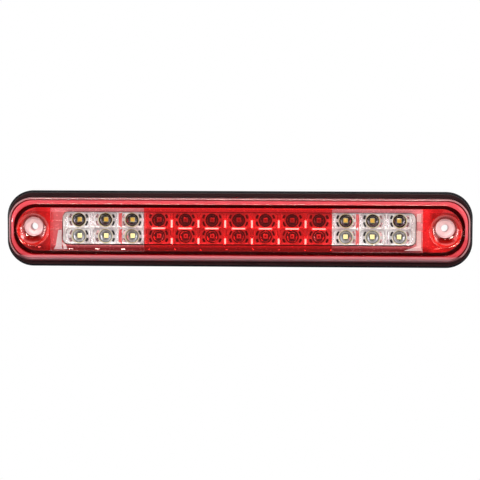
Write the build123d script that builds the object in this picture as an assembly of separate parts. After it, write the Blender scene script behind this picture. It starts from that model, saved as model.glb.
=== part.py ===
from build123d import *
import math
import os

os.makedirs("parts", exist_ok=True)

# High-mount stop lamp with cargo lamps, for the back of a vehicle cab. Millimetres.
# Final frame: +X along the lamp, +Z up, the lens faces -Y. The origin is midway
# between the two screw holes, on the mounting plane (the back face of the gasket).
#
# Pieces are drawn lying down: x along the lamp, y up from the middle line of its
# outline, z forward from the mounting plane. write() stands them up, so z becomes -Y,
# and lowers them by SCREW_Y, so the screw line ends up at Z = 0.
# An outline is (width, height, corner radius). Z0 is a back face, Z1 a front face.

SIDES = (-1, 1)

# gasket and housing flange
GASKET = (444.0, 72.4, 25.0)
GASKET_T = 4.5
FLANGE = (440.6, 68.6, 24.0)
FLANGE_Z0, FLANGE_Z1 = GASKET_T, 7.5

# mounting screws, their bushes and the wells in the lens
SCREW_Y = 2.2
WELL_X = (-195.0, 195.0)
SCREW_HOLE_R = 3.5
BUSH_R = 4.6
BUSH_BORE_R = BUSH_R + 0.05
WELL_TOP_R, WELL_MID_R, WELL_SEAT_R = 15.2, 9.3, 8.6
WELL_MID_Z, WELL_SEAT_Z = 13.5, 9.9

# front collar of the housing
COLLAR = (427.2, 47.2, 20.8)
COLLAR_INNER = (421.6, 41.6, 19.5)
COLLAR_Z1 = 15.8

# tub of the housing, behind the mounting plane
TUB = (366.0, 46.0, 10.0)
TUB_WALL = 2.5
TUB_BACK = -16.0
TUB_FLOOR = TUB_BACK + TUB_WALL
VENT_X = -120.0

# lens
LENS = (436.4, 59.6, 22.0)
SKIRT_INNER = (431.6, 54.8, 19.4)
SKIRT_Z0, SKIRT_Z1 = 8.5, 16.8
FACE_Z0, FACE_Z1, RIM_Z1 = 17.0, 19.4, 20.5
WINDOWS = {"left": (-178.0, -89.3), "right": (88.3, 173.4)}
WINDOW_HALF_Y = 20.8

# circuit board and reflector bar, on a middle line of their own at ENGINE_Y
ENGINE_Y = 1.0
BOARD = (352.0, 30.0, 4.0)
BOARD_Z0 = 1.6
BOARD_Z1 = BOARD_Z0 + 1.6
BAR = (335.8, 31.2, 6.0)
BAR_Z0, BAR_Z1 = BOARD_Z1, 12.0
CELLS = 13
PITCH = 25.4
CELL_X = [(i - (CELLS - 1) / 2) * PITCH for i in range(CELLS)]
CUP_Y = (-7.75, 7.75)  # each cell holds two cups
BAR_SCREWS = [(side * n * PITCH, 0) for side in SIDES for n in (2.5, 5.5)]
BOARD_SCREWS = [(side * 172.8, y) for side in SIDES for y in (-9.0, 9.0)]

# cable: leaves the tub backward, then bends to run along +X
CABLE_X = 60.0
BEND_R = 12.0
BEND_Z = -19.0
CABLE_Z = BEND_Z - BEND_R
WIRE_R = 1.0


# --- helpers ---------------------------------------------------------------
def inset(outline, gap):
    width, height, radius = outline
    return width - 2 * gap, height - 2 * gap, radius - gap


def slab(outline, z0, z1):
    return extrude(Pos(0, 0, z0) * RectangleRounded(*outline), z1 - z0)


def taper(outline0, z0, outline1, z1):
    ends = ((outline0, z0), (outline1, z1))
    return loft([Pos(0, 0, z) * RectangleRounded(*outline) for outline, z in ends], ruled=True)


def skew_cone(r0, y0, z0, r1, y1, z1, x):
    """Cone whose two ends may have different middles in y."""
    return loft([Pos(x, y0, z0) * Circle(r0), Pos(x, y1, z1) * Circle(r1)], ruled=True)


def rod(radius, z0, z1, x=0.0, y=0.0):
    return Pos(x, y, (z0 + z1) / 2) * Cylinder(radius, z1 - z0)


def rod_x(radius, x0, x1, y, z):
    return Pos((x0 + x1) / 2, y, z) * Rot(0, 90, 0) * Cylinder(radius, x1 - x0)


def rod_y(radius, x, y0, y1, z):
    return Pos(x, (y0 + y1) / 2, z) * Rot(90, 0, 0) * Cylinder(radius, abs(y1 - y0))


def frustum(r0, z0, r1, z1, x=0.0, y=0.0):
    return Pos(x, y, (z0 + z1) / 2) * Cone(r0, r1, z1 - z0)


def block(x0, x1, y0, y1, z0, z1):
    """Box between opposite corners; the x and y pairs may come in either order."""
    middle = Pos((x0 + x1) / 2, (y0 + y1) / 2, (z0 + z1) / 2)
    return middle * Box(abs(x1 - x0), abs(y1 - y0), z1 - z0)


def pad(x, y, width, height, z0, z1):
    """Box centred on x, y."""
    return block(x - width / 2, x + width / 2, y - height / 2, y + height / 2, z0, z1)


def square_x(half, x0, x1, y, z):
    """Square bar along x, centred on y, z."""
    return block(x0, x1, y - half, y + half, z - half, z + half)


def round_back(shape, radius):
    return fillet(shape.edges().group_by(Axis.Z)[0], radius)


def round_front(shape, radius):
    return fillet(shape.edges().group_by(Axis.Z)[-1], radius)


def write(name, *shapes):
    found = [solid for shape in shapes for solid in shape.solids()]
    body = found[0] if len(found) == 1 else Compound(found)
    export_step(Rot(90, 0, 0) * Pos(0, -SCREW_Y, 0) * body, f"parts/{name}.step")


def write_engine(name, *shapes):
    """Write pieces that are drawn about the board's own middle line."""
    write(name, *[Pos(0, ENGINE_Y, 0) * shape for shape in shapes])


# --- soft gasket between the lamp and the cab ------------------------------
gasket = round_front(slab(GASKET, 0, GASKET_T), 1.2)
gasket -= slab((372, 50, 12), -1, GASKET_T + 1)
for x in WELL_X:
    gasket -= rod(BUSH_BORE_R, -1, GASKET_T + 1, x, SCREW_Y)
write("mounting_gasket", gasket)

# --- rear housing ----------------------------------------------------------
LIP = (438.6, 61.8, 23.0)  # low wall round the lens skirt
RIB_HALF_T = 0.8
RIB_HALF_Y = inset(TUB, TUB_WALL)[1] / 2 + 0.5  # sunk 0.5 into the tub walls
RIB_Z0 = TUB_FLOOR - 0.5

housing = round_front(slab(FLANGE, FLANGE_Z0, FLANGE_Z1), 0.8)
housing += slab(TUB, TUB_BACK, FLANGE_Z1)
housing = round_back(housing, 1.5)
housing += slab(LIP, FLANGE_Z1 - 1, 10.0) - slab(inset(LIP, 0.8), FLANGE_Z1, 10.5)
housing += slab(COLLAR, FLANGE_Z1 - 1, COLLAR_Z1) - slab(COLLAR_INNER, FLANGE_Z1, COLLAR_Z1 + 1)
housing -= slab(inset(TUB, TUB_WALL), TUB_FLOOR, FLANGE_Z1 + 0.01)
# posts that carry the circuit board
for x, y in BOARD_SCREWS:
    housing += rod(3.0, RIB_Z0, BOARD_Z0, x, ENGINE_Y + y)
    housing -= rod(1.25, -6.0, BOARD_Z0 + 1, x, ENGINE_Y + y)
# low ribs right across the tub floor, and a taller pair of short ones near each end
for side in SIDES:
    for x, y0, y1, z1 in (
        (100.0, -RIB_HALF_Y, RIB_HALF_Y, -7.5),
        (150.0, -RIB_HALF_Y, RIB_HALF_Y, -7.5),
        (158.0, -RIB_HALF_Y, -15.0, 0.6),
        (158.0, 17.0, RIB_HALF_Y, 0.6),
    ):
        housing += block(side * x - RIB_HALF_T, side * x + RIB_HALF_T, y0, y1, RIB_Z0, z1)
for x in WELL_X:
    housing -= rod(BUSH_BORE_R, 0, 12, x, SCREW_Y)
# cable outlet, breather hole, and a raised ring round the breather
housing -= rod(7.0, TUB_BACK - 1, TUB_FLOOR + 1, CABLE_X)
housing -= rod(2.0, TUB_BACK - 1, TUB_FLOOR + 1, VENT_X)
housing += rod(7.5, TUB_BACK - 1.2, TUB_BACK, VENT_X) - rod(
    5.6, TUB_BACK - 2, TUB_BACK + 0.001, VENT_X
)
write("rear_housing", housing)

# --- red lens --------------------------------------------------------------
TUBE_R, TUBE_Z1 = 11.2, 12.9  # outside of each screw well
INNER_TAPER_Z = 15.2

lens = slab(LENS, SKIRT_Z0, SKIRT_Z1)
lens += taper((434.4, 57.6, 21.2), SKIRT_Z1, (427.4, 50.4, 20.8), RIM_Z1)
lens -= slab(SKIRT_INNER, SKIRT_Z0 - 1, INNER_TAPER_Z)
lens -= taper(SKIRT_INNER, INNER_TAPER_Z, (428.2, 51.2, 19.2), FACE_Z0)
# shallow step down from the rim to the face
lens -= taper(COLLAR_INNER, FACE_Z1, (424.6, 44.6, 20.3), RIM_Z1)
for x in WELL_X:
    lens += rod(TUBE_R, FLANGE_Z1, TUBE_Z1, x, SCREW_Y)
    lens += skew_cone(TUBE_R, SCREW_Y, TUBE_Z1 - 0.001, 15.6, 0.4, FACE_Z0 + 0.001, x)
    lens -= skew_cone(WELL_MID_R, SCREW_Y, WELL_MID_Z, WELL_TOP_R, 0.0, FACE_Z1, x)
    lens -= rod(WELL_TOP_R, FACE_Z1, RIM_Z1 + 1, x)
    lens -= frustum(WELL_SEAT_R, WELL_SEAT_Z, WELL_MID_R, WELL_MID_Z, x, SCREW_Y)
    lens -= rod(BUSH_BORE_R, FLANGE_Z1 - 1, WELL_SEAT_Z + 1, x, SCREW_Y)
for x0, x1 in WINDOWS.values():
    lens -= block(x0, x1, -WINDOW_HALF_Y, WINDOW_HALF_Y, FACE_Z0 - 1, FACE_Z1 + 1)
write("lens_red", lens)

# --- clear windows, moulded into the lens ----------------------------------
for where, (x0, x1) in WINDOWS.items():
    window = block(x0, x1, -WINDOW_HALF_Y, WINDOW_HALF_Y, FACE_Z0, FACE_Z1)
    write(f"lens_window_{where}", window)

# --- sealant bead under and inside the lens skirt --------------------------
bead = slab((436.6, 59.8, 22.0), FLANGE_Z1, SKIRT_Z0)
bead += slab(SKIRT_INNER, SKIRT_Z0, 13.0)
bead -= slab(COLLAR, 7, 14)
write("lens_sealant", bead)

# --- flanged metal bushes in the screw wells -------------------------------
BUSH_FLOOR_Z, BUSH_Z1 = 10.8, 13.2
BUSH_CUP_R = 8.5


def bush(x):
    body = rod(BUSH_R, 0, WELL_SEAT_Z + 0.4, x, SCREW_Y)
    body += frustum(8.5, WELL_SEAT_Z, 9.12, BUSH_Z1, x, SCREW_Y)
    body -= frustum(7.3, BUSH_FLOOR_Z, BUSH_CUP_R, BUSH_Z1, x, SCREW_Y)
    body -= rod(BUSH_CUP_R, BUSH_Z1, 14, x, SCREW_Y)
    body -= rod(SCREW_HOLE_R, -1, 14, x, SCREW_Y)
    # countersink
    body -= frustum(SCREW_HOLE_R, 10.2, 4.3, BUSH_FLOOR_Z + 0.001, x, SCREW_Y)
    return body


write("screw_sleeves", *[bush(x) for x in WELL_X])

# --- bright tray round the reflector bar -----------------------------------
TRAY = (421.0, 41.0, 19.2)
TRAY_FLOOR_Z, TRAY_RIM_Z, TRAY_T = 9.6, 15.4, 1.6

front_cut = taper(inset(TRAY, 4.1), TRAY_FLOOR_Z, inset(TRAY, 1.0), TRAY_RIM_Z)
back_cut = slab(inset(TRAY, 1.2), FLANGE_Z1 - 0.5, TRAY_RIM_Z - TRAY_T)
back_cut -= Pos(0, 0, -TRAY_T) * front_cut
tray = slab(TRAY, FLANGE_Z1, TRAY_RIM_Z) - front_cut - back_cut
# low raised pad on the floor at each end of the bar
for side in SIDES:
    tray += block(side * 168.0, side * 186.0, -0.4, 8.2, TRAY_FLOOR_Z - 0.1, TRAY_FLOOR_Z + 0.8)
tray -= Pos(0, ENGINE_Y, 0) * slab(inset(BAR, -0.4), 0, 20)
for x in WELL_X:
    tray -= rod(12.6, 0, 20, x, SCREW_Y)
write("reflector_tray", tray)

# --- reflector bar with its cups -------------------------------------------
CUP_R, CUP_Z1 = 6.8, 10.6
THROAT_R = 3.25  # straight throat the diode looks through
# bowl of a cup: (radius, slope there in degrees)
CUP_SLOPES = (
    (THROAT_R, 18), (3.8, 26), (4.5, 35), (5.2, 43.5), (5.8, 51),
    (6.2, 56.5), (6.5, 62), (6.7, 67), (CUP_R, 71),
)


def cup_curve():
    """Bowl points (radius, z) from throat to rim, from the mean slope of each step."""
    points = [(CUP_R, CUP_Z1)]
    for (r0, slope0), (r1, slope1) in reversed(list(zip(CUP_SLOPES, CUP_SLOPES[1:]))):
        climb = (math.tan(math.radians(slope0)) + math.tan(math.radians(slope1))) / 2
        points.append((r0, points[-1][1] - (r1 - r0) * climb))
    return points[::-1]


curve = cup_curve()
throat_z = curve[0][1]
cut_z0, cut_z1 = BAR_Z0 - 0.5, CUP_Z1 + 0.4
with BuildPart() as cup_tool:
    with BuildSketch(Plane.XZ):
        with BuildLine():
            Polyline((0, cut_z1), (0, cut_z0), (THROAT_R, cut_z0), (THROAT_R, throat_z))
            Spline(*curve)
            Polyline((CUP_R, CUP_Z1), (CUP_R, cut_z1), (0, cut_z1))
        make_face()
    revolve(axis=Axis.Z)
# rectangular mouth in front of each cup
mouth = loft(
    [
        Pos(0, 0, CUP_Z1) * Rectangle(15.8, 13.7),
        Pos(0, 0, BAR_Z1 + 0.001) * Rectangle(24.0, 14.3),
    ],
    ruled=True,
)

bar = slab(BAR, BAR_Z0, BAR_Z1)
bar = chamfer(bar.edges().group_by(Axis.Z)[-1], 0.5)
cuts = []
# the hollow back leaves material round the cups, throats and screws
hollow = slab(inset(BAR, 1.6), cut_z0, 9.2)
for x in CELL_X:
    for y in CUP_Y:
        cuts += [Pos(x, y, 0) * cup_tool.part, Pos(x, y, 0) * mouth]
        hollow -= rod(7.9, throat_z - 1.4, 10, x, y)
        hollow -= rod(4.8, BAR_Z0 - 1, 10, x, y)
for x, y in BAR_SCREWS:
    hollow -= rod(2.8, BAR_Z0 - 1, 10, x, y)
bar -= hollow
bar -= cuts
for x, y in BAR_SCREWS:
    bar -= rod(1.25, BAR_Z0 - 1, 10.2, x, y)
write_engine("led_bezel", bar)

# --- circuit board ---------------------------------------------------------
board = slab(BOARD, BOARD_Z0, BOARD_Z1)
for x, y in BAR_SCREWS:
    board -= rod(1.35, 0, 6, x, y)
for x, y in BOARD_SCREWS:
    board -= rod(1.45, 0, 6, x, y)
write_engine("circuit_board", board)

# --- light emitting diodes -------------------------------------------------
LED_BODY, LED_FACE = 4.4, 4.0
LED_Z1 = BOARD_Z1 + 0.9
LED_POCKET_Z = LED_Z1 - 0.25


def led_body(x, y):
    body = pad(x, y, LED_BODY, LED_BODY, BOARD_Z1, LED_Z1)
    return body - pad(x, y, LED_FACE, LED_FACE, LED_POCKET_Z, LED_Z1 + 1)


def led_face(x, y):
    return pad(x, y, LED_FACE, LED_FACE, LED_POCKET_Z, LED_Z1 + 0.02)


for columns, body_name, face_name in (
    (CELL_X[:3], "cargo_led_bodies_left", "cargo_led_phosphors_left"),
    (CELL_X[10:], "cargo_led_bodies_right", "cargo_led_phosphors_right"),
    (CELL_X[3:10], "brake_led_bodies", "brake_led_emitters"),
):
    write_engine(body_name, *[led_body(x, y) for x in columns for y in CUP_Y])
    write_engine(face_name, *[led_face(x, y) for x in columns for y in CUP_Y])

# --- small screws ----------------------------------------------------------
SHANK_R = 1.2
HEAD_R, HEAD_T = 2.3, 1.6


def pan_screw(x, y, z, length, backward=False):
    """Cross-slot pan head screw: z is the plane under its head; the shank points forward
    unless backward is set."""
    screw = rod(SHANK_R, 0, length)
    screw += frustum(SHANK_R, length - 0.001, 0.5, length + 0.9)
    head = round_back(rod(HEAD_R, -HEAD_T, 0), 0.6)
    head -= Pos(0, 0, -HEAD_T) * Box(2.4, 0.55, 1.6)
    head -= Pos(0, 0, -HEAD_T) * Box(0.55, 2.4, 1.6)
    screw += head
    if backward:
        screw = Rot(180, 0, 0) * screw
    return Pos(x, y, z) * screw


write_engine("bezel_screws", *[pan_screw(x, y, BOARD_Z0, 5.4) for x, y in BAR_SCREWS])
write_engine("board_screws", *[pan_screw(x, y, BOARD_Z1, 8.0, True) for x, y in BOARD_SCREWS])


# --- parts on the back of the board ----------------------------------------
def on_back(x, y, width, height, thickness):
    return pad(x, y, width, height, BOARD_Z0 - thickness, BOARD_Z0)


def resistors(columns, rows):
    return [on_back(x, y, 3.2, 1.6, 0.6) for x in columns for y in rows]


def diode(x):
    width, height, lead = 4.4, 2.7, 0.5
    body = on_back(x, 0.0, width, height, 2.2)
    return body + on_back(x, 0.0, width + 2 * lead, height * 0.56, 0.35)


def regulator(x):
    return on_back(x, -0.5, 6.5, 3.6, 1.7) + on_back(x, -0.35, 3.2, 6.5, 0.4)


def capacitor(x):
    can = round_back(rod(3.15, BOARD_Z0 - 5.8, BOARD_Z0 - 0.6, x, 0), 0.4)
    return can + on_back(x, 0, 6.6, 6.6, 0.7)


cargo_resistor_x = [side * x for side in SIDES for x in (114.0, 127.0)]
write_engine("cargo_ballast_resistors", *resistors(cargo_resistor_x, (-6.0, 6.0)))
write_engine("brake_ballast_resistors", *resistors((-76.0, -38.0, 12.0, 80.0), (-8.0, 8.0)))
write_engine("input_diodes", *[diode(x) for x in (-8.0, 4.0, 16.0)])
write_engine("current_regulators", *[regulator(x) for x in (-50.0, -26.0)])
write_engine("filter_capacitors", *[capacitor(x) for x in (-100.0, 90.0)])

# --- header, pins and socket: the socket slides on toward -X ---------------
PIN_PITCH = 2.54
PIN_Z = -2.1
PIN_HALF = 0.32
PIN_X0, PIN_X1 = 28.6, 42.0
BORE_X0 = 43.0  # where the socket's wire bores meet its pin holes

header = block(30.0, 36.0, -5.1, 5.1, -5.7, BOARD_Z0)
socket = block(36.2, 47.0, -4.9, 4.9, -5.1, 0.9)
socket += block(38.0, 45.0, -1.6, 1.6, -5.8, -5.0)
pins = []
for y in (-PIN_PITCH, 0.0, PIN_PITCH):
    foot = block(
        PIN_X0, PIN_X0 + 2 * PIN_HALF, y - PIN_HALF, y + PIN_HALF, PIN_Z - PIN_HALF, BOARD_Z0
    )
    pins.append(square_x(PIN_HALF, PIN_X0, PIN_X1, y, PIN_Z) + foot)
    header -= square_x(0.36, 29.0, 37.0, y, PIN_Z)
    socket -= square_x(0.4, 36.0, BORE_X0, y, PIN_Z)
    socket -= rod_x(1.06, BORE_X0, 48.0, y, PIN_Z)
write("board_header", header)
write("header_pins", *pins)
write("board_socket", socket)

# --- wires -----------------------------------------------------------------
WIRE_X0 = 43.2
WIRE_OFFSET = 1.3  # of each wire from the middle of the cable
PLUG_PITCH = 4.2


def bend(radius, y):
    """Quarter turn from backward to +X, about the cable's own bend centre."""
    centre_x = CABLE_X + BEND_R
    middle = radius * math.cos(math.pi / 4)
    return ThreePointArc(
        (centre_x - radius, y, BEND_Z),
        (centre_x - middle, y, BEND_Z - middle),
        (centre_x, y, BEND_Z - radius),
    )


def wire(socket_y, offset_x, offset_y, plug_y):
    """One insulated wire: socket, grommet, bend, run along the back, plug cavity."""
    socket_start = (WIRE_X0, socket_y, PIN_Z)
    socket_end = (48.0, socket_y, PIN_Z)
    outlet = (CABLE_X + offset_x, offset_y, -12.0)
    radius = BEND_R - offset_x
    run_end = (142.0, offset_y, BEND_Z - radius)
    plug_start = (153.0, plug_y, CABLE_Z)
    path = Wire(
        [
            Line(socket_start, socket_end),
            Spline(socket_end, outlet, tangents=[(1, 0, 0), (0, 0, -1)]),
            Line(outlet, (CABLE_X + offset_x, offset_y, BEND_Z)),
            bend(radius, offset_y),
            Line((CABLE_X + BEND_R, offset_y, BEND_Z - radius), run_end),
            Spline(run_end, plug_start, tangents=[(1, 0, 0), (1, 0, 0)]),
            Line(plug_start, (161.5, plug_y, CABLE_Z)),
        ]
    )
    return sweep(Plane(socket_start, z_dir=(1, 0, 0)) * Circle(WIRE_R), path=path)


for name, row, offset_x, offset_y in (
    ("brake_wire", 1, 0.5, 0.866),
    ("ground_wire", 0, -1.0, 0.0),
    ("cargo_wire", -1, 0.5, -0.866),
):
    offsets = (offset_x * WIRE_OFFSET, offset_y * WIRE_OFFSET)
    write(name, wire(row * PIN_PITCH, *offsets, row * PLUG_PITCH))

# --- sheath over the three wires -------------------------------------------
sheath_start = (CABLE_X, 0, -12.4)
sheath_path = Wire(
    [
        Line(sheath_start, (CABLE_X, 0, BEND_Z)),
        bend(BEND_R, 0),
        Line((CABLE_X + BEND_R, 0, CABLE_Z), (140.0, 0, CABLE_Z)),
    ]
)
start = Plane(sheath_start, z_dir=(0, 0, -1))
sheath = sweep(start * Circle(3.8), path=sheath_path)
sheath -= sweep(start * Circle(2.8), path=sheath_path)
write("harness_sheath", sheath)

# --- rubber grommet in the cable outlet ------------------------------------
GROMMET_BORE_R = 3.86
GROMMET_Z1 = -12.2

grommet = rod(6.95, -18.0, GROMMET_Z1, CABLE_X)
grommet += frustum(9.6, -18.4, 9.2, TUB_BACK, CABLE_X)
grommet += frustum(8.9, TUB_FLOOR, 7.6, GROMMET_Z1, CABLE_X)
grommet += frustum(5.4, -21.0, 7.0, -18.2, CABLE_X)
grommet -= rod(GROMMET_BORE_R, -19.1, -10, CABLE_X)
grommet -= frustum(5.0, -21.5, GROMMET_BORE_R, -19.0, CABLE_X)
write("cable_grommet", grommet)

# --- patch over the breather hole ------------------------------------------
write("vent_membrane", rod(5.4, TUB_BACK - 0.35, TUB_BACK, VENT_X))

# --- vehicle plug ----------------------------------------------------------
PLUG_X0, PLUG_X1 = 156.0, 184.0
PLUG_HALF_Y, PLUG_HALF_Z = 8.0, 5.5
PLUG_Z0 = CABLE_Z - PLUG_HALF_Z
PLUG_Y = (-PLUG_PITCH, 0.0, PLUG_PITCH)
SLOT_HALF = 0.75  # square passage for a terminal
EAR_R = 2.2
LEVER_X, LEVER_Z = 170.0, PLUG_Z0 - EAR_R


def plug_core(x0, x1, gap):
    """Block that lies gap inside the outside of the plug."""
    half_y, half_z = PLUG_HALF_Y - gap, PLUG_HALF_Z - gap
    return block(x0, x1, -half_y, half_y, CABLE_Z - half_z, CABLE_Z + half_z)


plug = plug_core(PLUG_X0, PLUG_X1, 0)
plug = fillet(plug.edges().filter_by(Axis.X), 1.8)
plug -= plug_core(169.0, PLUG_X1 + 1, 1.5)
for y in PLUG_Y:
    plug -= rod_x(1.95, PLUG_X0 - 1, 162.0, y, CABLE_Z)
    plug -= square_x(SLOT_HALF, 161.9, 170.0, y, CABLE_Z)
# window for the latch hook
plug -= block(180.2, 183.2, -3.3, 3.3, PLUG_Z0 - 1, PLUG_Z0 + 2)
# two ears that carry the latch
for side in SIDES:
    y0, y1 = side * 5.0, side * 6.5
    ear = block(LEVER_X - EAR_R, LEVER_X + EAR_R, y0, y1, LEVER_Z - 0.2, PLUG_Z0 + 0.2)
    ear += rod_y(EAR_R, LEVER_X, y0, y1, LEVER_Z)
    plug += ear
plug -= rod_y(1.25, LEVER_X, -8, 8, LEVER_Z)
# ribs on the two y sides
for side in SIDES:
    plug += block(172.0, PLUG_X1, side * 7.9, side * 8.7, -32.0, -30.0)
write("plug_body", plug)


# --- terminals, wire seals and terminal retainer ---------------------------
def terminal(y):
    body = square_x(0.7, 161.7, 169.4, y, CABLE_Z)
    body += square_x(0.5, 169.3, 180.0, y, CABLE_Z)
    tip = [
        Plane((x, y, CABLE_Z), z_dir=(1, 0, 0)) * Rectangle(width, width)
        for x, width in ((180.0, 1.0), (181.4, 0.4))
    ]
    return body + loft(tip)


def seal(y):
    ring = rod_x(1.9, PLUG_X0 - 0.8, 161.0, y, CABLE_Z)
    return ring - rod_x(WIRE_R + 0.02, PLUG_X0 - 2, 162.0, y, CABLE_Z)


write("plug_terminals", *[terminal(y) for y in PLUG_Y])
write("wire_seals", *[seal(y) for y in PLUG_Y])

retainer = plug_core(169.1, 170.9, 1.7)
for y in PLUG_Y:
    retainer -= square_x(SLOT_HALF, 168.0, 172.0, y, CABLE_Z)
write("terminal_retainer", retainer)

# --- latch: ridged thumb pad, pivot in the ears, hook into the window ------
LEVER_X0 = 158.2
LEVER_HALF_T = 0.7

lever = block(LEVER_X0, 183.0, -3.9, 3.9, LEVER_Z - LEVER_HALF_T, LEVER_Z + LEVER_HALF_T)
lever += block(LEVER_X0, 163.6, -4.7, 4.7, LEVER_Z - 1.1, LEVER_Z + LEVER_HALF_T)
for k in range(4):
    x = 159.0 + 1.2 * k
    lever += block(x, x + 0.5, -4.0, 4.0, LEVER_Z - 1.5, LEVER_Z - 1.0)
lever += rod_y(1.2, LEVER_X, -6.4, 6.4, LEVER_Z)
lever += rod_y(1.6, LEVER_X, -4.8, 4.8, LEVER_Z)
lever += block(180.8, 182.7, -2.8, 2.8, LEVER_Z, PLUG_Z0 + 1.3)
write("plug_release_lever", lever)
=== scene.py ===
"""A wide lamp: a red lens with a clear window near each end, over a reflector bar with two rows
of diode cups. Brake diodes fill the middle columns, cargo diodes the three at either end.

The scene is in metres: X to the right seen from the front, Z up, the front towards -Y. The
mounting plane is Y = 0 and the screw line is Z = 0.
Shapes are drawn in mm as (x, y, front): y is the height above the middle of the outline, which
lies SCREW_Y below the screw line, and front is the distance in front of the mounting plane.
"""

import bmesh
import bpy
import math
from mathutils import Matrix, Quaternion, Vector, geometry


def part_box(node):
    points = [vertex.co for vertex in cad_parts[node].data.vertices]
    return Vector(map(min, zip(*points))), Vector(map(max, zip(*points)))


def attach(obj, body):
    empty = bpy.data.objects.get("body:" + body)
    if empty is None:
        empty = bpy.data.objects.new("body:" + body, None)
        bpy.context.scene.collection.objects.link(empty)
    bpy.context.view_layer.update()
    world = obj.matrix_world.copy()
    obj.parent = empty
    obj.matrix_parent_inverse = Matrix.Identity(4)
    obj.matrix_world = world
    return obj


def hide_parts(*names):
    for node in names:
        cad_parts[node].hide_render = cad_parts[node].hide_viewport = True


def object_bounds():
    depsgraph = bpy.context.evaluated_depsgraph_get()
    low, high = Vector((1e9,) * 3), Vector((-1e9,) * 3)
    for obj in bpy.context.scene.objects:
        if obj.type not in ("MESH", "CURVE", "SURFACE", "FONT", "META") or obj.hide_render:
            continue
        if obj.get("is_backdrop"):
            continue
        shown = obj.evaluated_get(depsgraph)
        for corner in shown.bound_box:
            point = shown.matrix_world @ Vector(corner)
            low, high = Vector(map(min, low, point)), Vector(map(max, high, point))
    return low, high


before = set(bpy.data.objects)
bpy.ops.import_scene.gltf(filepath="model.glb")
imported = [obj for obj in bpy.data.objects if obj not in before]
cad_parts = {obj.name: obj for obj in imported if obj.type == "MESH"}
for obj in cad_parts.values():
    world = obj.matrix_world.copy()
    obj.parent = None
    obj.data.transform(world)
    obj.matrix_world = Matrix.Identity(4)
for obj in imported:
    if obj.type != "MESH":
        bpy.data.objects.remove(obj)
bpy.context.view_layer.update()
MM = 0.001

# ---------------------------------------------------------------------------
# Dimensions in mm; those of the CAD pieces are read from them
# ---------------------------------------------------------------------------
SCREW_X, SCREW_Y = 195.0, 2.2
SIDES = (-1, 1)


def box_mm(node):
    """Low and high corner of a CAD piece in mm, with z counted like y in the shapes."""
    corners = [[v * 1000 for v in corner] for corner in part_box(node)]
    for corner in corners:
        corner[2] += SCREW_Y
    return corners


low, high = box_mm("lens_red")
LENS_WIDTH, LENS_HEIGHT = high[0] - low[0], high[2] - low[2]
RIM_FRONT = -low[1]

low, high = box_mm("led_bezel")
BAR_WIDTH, BAR_HEIGHT = high[0] - low[0], high[2] - low[2]
BAR_Y = (high[2] + low[2]) / 2
BAR_BACK, BAR_FRONT = -high[1], -low[1]

WINDOWS = {}  # left and right edge of each window
for side in ("left", "right"):
    low, high = box_mm("lens_window_" + side)
    WINDOWS[side] = (low[0], high[0])
    FACE_FRONT, FACE_BACK = -low[1], -high[1]

low, high = box_mm("reflector_tray")
TRAY_WIDTH, TRAY_HEIGHT = high[0] - low[0], high[2] - low[2]
TRAY_BACK, TRAY_RIM = -high[1], -low[1]
TRAY_FLOOR, TRAY_WALL = 9.6, 1.6

low, high = box_mm("brake_led_bodies")
BOARD_FRONT, LED_FRONT = -high[1], -low[1]

COLUMNS, PITCH = 13, 25.4
CARGO = 3  # columns of cargo diodes at each end
ROW = 7.75  # from the middle of the bar to a row of cups
ROW_Y = (BAR_Y - ROW, BAR_Y + ROW)
COLUMN_X = [(i - (COLUMNS - 1) / 2) * PITCH for i in range(COLUMNS)]

CUP_RADIUS, CUP_FRONT = 6.8, 10.6
# radius and steepness in degrees of the bowl of a cup
CUP_CURVE = (
    (3.25, 18), (3.8, 26), (4.5, 35), (5.2, 43.5), (5.8, 51),
    (6.2, 56.5), (6.5, 62), (6.7, 67), (6.8, 71),
)
BOWL = [(CUP_RADIUS, CUP_FRONT)]  # radius, front
for (radius_in, slope_in), (radius_out, slope_out) in reversed(list(zip(CUP_CURVE, CUP_CURVE[1:]))):
    slopes = math.tan(math.radians(slope_in)) + math.tan(math.radians(slope_out))
    BOWL.append((radius_in, BOWL[-1][1] - (radius_out - radius_in) * slopes / 2))


# ---------------------------------------------------------------------------
# Mesh building
# ---------------------------------------------------------------------------
def rounded_rect(width, height, radius, front, steps, x=0.0, y=0.0):
    """Points of a rounded rectangle, with so many steps a corner."""
    radius = min(radius, width / 2 - 1e-4, height / 2 - 1e-4)
    points = []
    for quarter, (side_x, side_y) in enumerate(((1, 1), (-1, 1), (-1, -1), (1, -1))):
        corner_x = x + side_x * (width / 2 - radius)
        corner_y = y + side_y * (height / 2 - radius)
        for i in range(steps + 1):
            angle = math.radians(90 * quarter + 90 * i / steps)
            points.append(
                (corner_x + radius * math.cos(angle), corner_y + radius * math.sin(angle), front)
            )
    return points


def circle(radius, front, x, y, steps):
    turns = [2 * math.pi * i / steps for i in range(steps)]
    return [(x + radius * math.cos(turn), y + radius * math.sin(turn), front) for turn in turns]


def rectangle(left, right, bottom, top, front, front_top=None):
    """Corner points; front_top is for a top edge that lies elsewhere than the bottom one."""
    if front_top is None:
        front_top = front
    return [(left, bottom, front), (right, bottom, front), (right, top, front_top), (left, top, front_top)]


def link_object(name, data):
    obj = bpy.data.objects.new(name, data)
    bpy.context.scene.collection.objects.link(obj)
    return obj


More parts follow.
